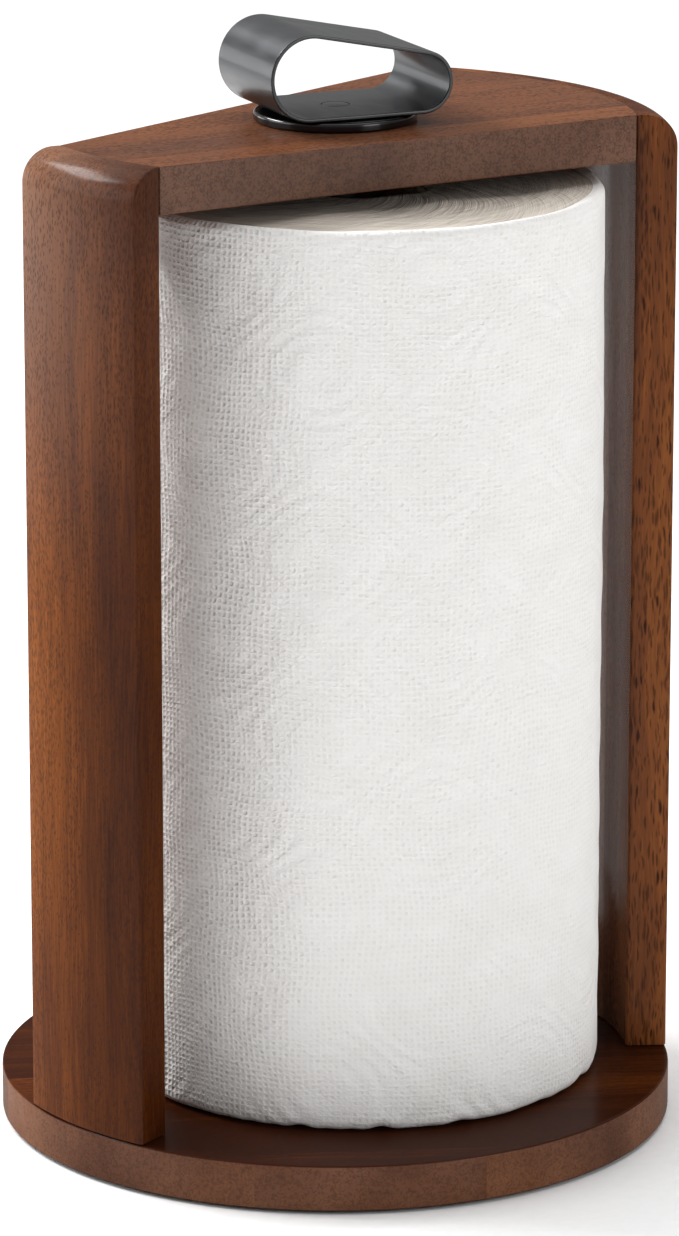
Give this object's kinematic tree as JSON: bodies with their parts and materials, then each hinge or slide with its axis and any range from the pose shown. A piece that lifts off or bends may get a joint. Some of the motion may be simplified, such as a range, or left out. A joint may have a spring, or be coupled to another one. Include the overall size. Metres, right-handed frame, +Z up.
{
  "type": "paper towel holder",
  "caption": "Round wooden base with a narrow post, a wide curved wall and a bow-shaped top plate; a lift-out rod with a strap handle keeps an upright paper roll in place.",
  "frame": {"origin": "centre of the round base, on the plane of the foot pads' undersides", "axes": "+Z up along the rod; the front opening faces -Y; the wide wall is on the +X side and the narrow post on the -X side"},
  "size_m": [0.21, 0.21, 0.3452],
  "materials": {
    "stained_wood": "satin",
    "dowel_wood": "matte",
    "screw_steel": "satin",
    "gunmetal": "satin",
    "black_metal": "gloss",
    "rubber": "matte",
    "paper": "matte",
    "cardboard": "matte"
  },
  "bodies": {
    "frame": {"base_disc": "stained_wood", "narrow_post": "stained_wood", "wide_wall": "stained_wood", "top_plate": "stained_wood", "base_screw_1": "screw_steel", "base_screw_2": "screw_steel", "base_screw_3": "screw_steel", "base_screw_4": "screw_steel", "base_screw_5": "screw_steel", "plate_dowel_1": "dowel_wood", "plate_dowel_2": "dowel_wood", "plate_dowel_3": "dowel_wood", "plate_dowel_4": "dowel_wood", "plate_dowel_5": "dowel_wood", "foot_pad_1": "rubber", "foot_pad_2": "rubber", "foot_pad_3": "rubber", "foot_pad_4": "rubber"},
    "spindle": {"spindle_rod": "gunmetal"},
    "handle": {"handle_flange": "black_metal", "handle_loop": "gunmetal", "handle_screw": "gunmetal"},
    "roll": {"paper_roll": "paper", "cardboard_core": "cardboard"}
  },
  "joints": [
    {"name": "spindle_lift", "type": "slide", "parent": "frame", "child": "spindle", "axis": [0, 0, 1], "range_m": [0, 0.288]},
    {"name": "handle_turn", "type": "hinge", "parent": "spindle", "child": "handle", "pos_m": [0, 0, 0.315], "axis": [0, 0, 1], "continuous": true},
    {"name": "roll_spin", "type": "hinge", "parent": "frame", "child": "roll", "pos_m": [0.0062, -0.00345, 0.1555], "axis": [0, 0, 1], "continuous": true}
  ]
}
